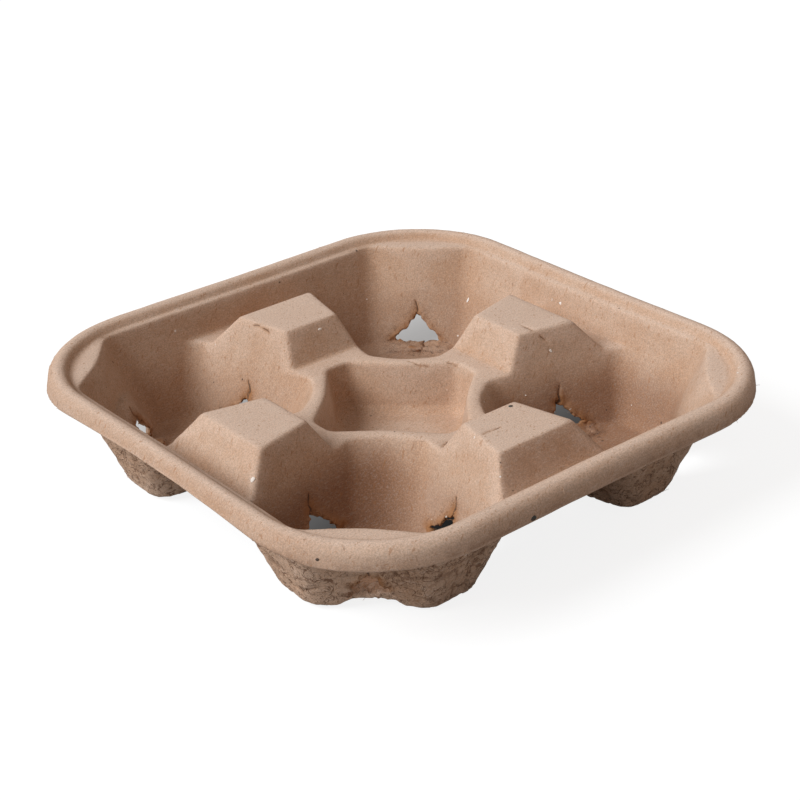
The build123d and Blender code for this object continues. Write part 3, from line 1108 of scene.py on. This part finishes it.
class PULP_OT_lying_fibres(bpy.types.Operator):
    """Lay single fibres on the walls of the tray"""
    bl_idname = "pulp.lying_fibres"
    bl_label = "Add lying fibres"

    def execute(self, context):
        dice = np.random.default_rng(bits().seed + 1)
        points, normals = tray_samples()
        picked = dice.choice(len(points), bits().lying_fibres, replace=False)
        aside = dice.normal(0, 1, (len(picked), 3))
        n = normals[picked]
        aside -= n * np.einsum("ij,ij->i", aside, n)[:, None]
        aside /= np.linalg.norm(aside, axis=1)[:, None]
        lean = aside + n * LYING_LIFT
        c = colours()
        tree = fibre_tree(fibre_material("lying fibre", c.warm, c.body), bits().seed + 2)
        mesh = grown("lying fibres", points[picked] - n * LYING_ROOT, lean, tree,
                     {"Length": bits().fibre_length, "Radius": bits().fibre_radius * LYING_THINNESS,
                      "Bend": bits().fibre_length * LYING_BEND})
        finished("lying_fibres", mesh)
        return {"FINISHED"}


# Larger scraps of white paper: place in mm and size against a middling fleck
SCRAPS = (((-81.0, -21.3, 33.8), 2.5), ((61.3, -19.0, 32.2), 1.5), ((89.7, 59.3, 21.9), 1.4),
          ((94.1, 8.7, 33.5), 1.2), ((2.5, 48.6, 38.3), 1.1), ((2.0, -99.0, 41.5), 1.0))
# Dark bits on the tray: place in mm and size
DARK_BITS = (((8.9, -53.1, 41.6), 1.4), ((-33.9, -107.6, 37.9), 1.5), ((-100.4, -82.4, 38.6), 1.6),
             ((57.2, -14.0, 39.0), 0.9))


def pressed_in(mesh_points, normals, table):
    """Points, normals and sizes for the scraps of a table, moved to the nearest points of the tray."""
    places, leans, sizes = [], [], []
    for spot, size in table:
        nearest = int(np.argmin(((mesh_points - np.array(spot) * MM) ** 2).sum(axis=1)))
        places.append(mesh_points[nearest])
        leans.append(normals[nearest])
        sizes.append(size)
    return np.array(places), np.array(leans), np.array(sizes)


class PULP_OT_flecks(bpy.types.Operator):
    """Press scraps of white paper into the surface"""
    bl_idname = "pulp.flecks"
    bl_label = "Add flecks"

    def execute(self, context):
        dice = np.random.default_rng(bits().seed + 3)
        points, normals = tray_samples()
        picked = dice.choice(len(points), bits().flecks, replace=False)
        places, leans = points[picked], normals[picked]
        sizes = FLECK_LEAST + FLECK_MORE * dice.random(len(picked)) ** FLECK_RARITY
        more, ways, large = pressed_in(points, normals, SCRAPS)
        places, leans = np.concatenate([places, more]), np.concatenate([leans, ways])
        sizes = np.concatenate([sizes, large])
        c = colours()
        tree = fleck_tree(fibre_material("white paper scrap", c.fleck, c.dull_fleck), bits().seed + 4)
        mesh = grown("paper flecks", places, leans, tree, {"Size": FLECK_SIZE}, {"size": sizes})
        finished("paper_flecks", mesh)
        places, leans, sizes = pressed_in(points, normals, DARK_BITS)
        tree = fleck_tree(fibre_material("dark scrap", c.speck, c.cold_speck), bits().seed + 6)
        mesh = grown("dark scraps", places, leans, tree, {"Size": FLECK_SIZE}, {"size": sizes})
        finished("dark_scraps", mesh)
        return {"FINISHED"}


# Half side of the table and how far it lies below the feet, in metres
TABLE_HALF = 6.0
TABLE_DROP = 0.0002
# Patch of the table behind the tray, seen only through openings, where a shadow is painted: middle and half
# side, and its soft edge
PATCH = {"X": (0.026, 0.094), "Y": (0.030, 0.092)}
PATCH_EDGE = 0.012
# Where the patch goes from near to far along Y, and how light and how glowing it is at both ends: painted
# shadow, darkest near the front, with a little painted light from its glow towards the back
PATCH_DEPTH = (-0.055, 0.085)
PATCH_LIGHT = (0.06, 0.28)
PATCH_GLOW = (0.01, 0.34)
# Share of the glow that is taken off the table's own colour
GLOW_SHARE = 0.92
KEY_COLOUR = (1.0, 1.06, 1.10)
KEY_FROM = (-0.70, 0.20, 0.60)
SKY_COLOUR = (1.0, 0.88, 0.80)
# The camera: which way it looks, in degrees, and how far it stands off, aside and up, in the tray's mm
EYE_TURN, EYE_TILT, EYE_ROLL = 51.42, 27.25, -2.03
EYE_BACK, EYE_SIDE, EYE_LIFT, EYE_LEVEL = 653.12, -6.24, -23.12, 56.2
# How much closer the camera stands than these, and how far its picture is shifted
EYE_NEARER = 0.977
EYE_SHIFT = (0.02832, -0.00774)


class PULP_OT_stage(bpy.types.Operator):
    """Set the tray on a white table in soft light from the left"""
    bl_idname = "pulp.stage"
    bl_label = "Set the stage"

    def execute(self, context):
        s = studio()
        self.table(s)
        self.lights(s)
        self.camera(s)
        view = context.scene.view_settings
        view.view_transform = "Standard"
        return {"FINISHED"}

    def table(self, s):
        r, z = TABLE_HALF, -TABLE_DROP
        mesh = bpy.data.meshes.new("table")
        mesh.from_pydata([(-r, -r, z), (r, -r, z), (r, r, z), (-r, r, z)], [], [(0, 1, 2, 3)])
        w = Wiring("white table")
        path = w.node("ShaderNodeLightPath").outputs
        seen = w.maths("MAXIMUM", path["Is Camera Ray"], path["Is Glossy Ray"])
        seen = w.maths("MAXIMUM", seen, path["Is Transmission Ray"])
        # Painted shadow on the table behind the tray, with painted light from its glow towards the back
        under = self.under_tray(w)
        glow = w.times(w.maths("SUBTRACT", 1.0, under), s.glow)
        clear = w.maths("SUBTRACT", 1.0, w.times(glow, GLOW_SHARE))
        depth = w.axes()["Y"]
        clear = w.times(clear, w.ramp(under, 0.0, 1.0, 1.0, w.ramp(depth, *PATCH_DEPTH, *PATCH_LIGHT)))
        glow = w.maths("ADD", w.times(under, w.ramp(depth, *PATCH_DEPTH, *PATCH_GLOW)), glow)
        tone = w.node("ShaderNodeCombineColor")
        for k in range(3):
            w.join(clear, tone.inputs[k])
        pale = w.node("ShaderNodeBsdfDiffuse")
        w.join(w.blend(seen, (s.table_grey,) * 3, tone.outputs[0]), pale.inputs["Color"])
        own = w.node("ShaderNodeEmission")
        w.join(w.times(glow, seen), own.inputs["Strength"])
        both = w.node("ShaderNodeAddShader")
        w.join(pale.outputs[0], both.inputs[0])
        w.join(own.outputs[0], both.inputs[1])
        mesh.materials.append(w.surface(both.outputs[0]))
        link(bpy.data.objects.new("table", mesh))

    def under_tray(self, w):
        """1 on the patch of the table behind the tray, where a shadow is painted, fading to 0 round it."""
        spot = w.axes()
        inside = None
        for axis, (middle, reach) in PATCH.items():
            away = w.maths("ABSOLUTE", w.maths("SUBTRACT", spot[axis], middle))
            share = w.ramp(away, reach, reach - PATCH_EDGE)
            inside = share if inside is None else w.times(inside, share)
        return inside

    def lights(self, s):
        lamp = bpy.data.lights.new("soft key", "SUN")
        lamp.energy = s.key_strength
        lamp.angle = s.key_softness
        lamp.color = KEY_COLOUR
        key = link(bpy.data.objects.new("soft key", lamp))
        key.rotation_euler = Vector(KEY_FROM).normalized().to_track_quat("Z", "Y").to_euler()
        world = bpy.data.worlds.new("white room")
        bpy.context.scene.world = world
        world.use_nodes = True
        room = Nodes(world.node_tree)
        room.tree.nodes.clear()
        mix = room.node("ShaderNodeMixShader")
        room.join(room.node("ShaderNodeLightPath").outputs["Is Camera Ray"], mix.inputs[0])
        for slot, colour, strength in ((1, SKY_COLOUR, s.sky_strength), (2, (1, 1, 1), 1.0)):
            light = room.node("ShaderNodeBackground")
            light.inputs["Color"].default_value = (*colour, 1)
            light.inputs["Strength"].default_value = strength
            room.join(light.outputs[0], mix.inputs[slot])
        room.join(mix.outputs[0], room.node("ShaderNodeOutputWorld").inputs["Surface"])

    def camera(self, s):
        data = bpy.data.cameras.new("camera")
        data.lens = s.lens
        data.sensor_width = 36.0
        data.shift_x, data.shift_y = EYE_SHIFT
        data.clip_start = 0.01
        data.clip_end = 30.0
        eye = link(bpy.data.objects.new("camera", data))
        turn, tilt, roll = math.radians(EYE_TURN), math.radians(EYE_TILT), math.radians(EYE_ROLL)
        level = math.cos(tilt)
        ahead = Vector((math.cos(turn) * level, math.sin(turn) * level, -math.sin(tilt)))
        right = Vector((math.sin(turn), -math.cos(turn), 0))
        above = right.cross(ahead)
        across = math.cos(roll) * right + math.sin(roll) * above
        upward = -math.sin(roll) * right + math.cos(roll) * above
        place = -EYE_BACK * ahead + EYE_SIDE * across + EYE_LIFT * upward + Vector((0, 0, EYE_LEVEL))
        aim = Matrix((across, upward, -ahead)).transposed().to_4x4()
        eye.matrix_world = Matrix.Translation(place * EYE_NEARER * MM) @ aim
        bpy.context.scene.camera = eye


class PULP_PT_panel(bpy.types.Panel):
    """Lists the steps that dress the tray"""
    bl_idname = "PULP_PT_panel"
    bl_label = "Moulded pulp cup carrier"
    bl_space_type = "VIEW_3D"
    bl_region_type = "UI"
    bl_category = "Pulp"

    def draw(self, context):
        for step in STEPS:
            self.layout.operator(step.bl_idname)
        for name in HOLDERS:
            group = getattr(context.scene, name)
            box = self.layout.box()
            for key in group.__annotations__:
                box.prop(group, key)


STEPS = (PULP_OT_tray, PULP_OT_torn_fibres, PULP_OT_lying_fibres, PULP_OT_flecks, PULP_OT_stage)
HOLDERS = {"pulp_form": PulpForm, "pulp_colours": PulpColours, "pulp_bits": PulpBits,
           "pulp_studio": StudioStage}


def register():
    for group in HOLDERS.values():
        bpy.utils.register_class(group)
    for step in STEPS:
        bpy.utils.register_class(step)
    bpy.utils.register_class(PULP_PT_panel)
    for name, group in HOLDERS.items():
        setattr(bpy.types.Scene, name, bpy.props.PointerProperty(type=group))


def unregister():
    for name in HOLDERS:
        delattr(bpy.types.Scene, name)
    bpy.utils.unregister_class(PULP_PT_panel)
    for item in (*reversed(STEPS), *reversed(list(HOLDERS.values()))):
        bpy.utils.unregister_class(item)


def main():
    register()
    bpy.ops.pulp.tray()
    bpy.ops.pulp.torn_fibres()
    bpy.ops.pulp.lying_fibres()
    bpy.ops.pulp.flecks()
    bpy.ops.pulp.stage()


if __name__ == "__main__":
    main()
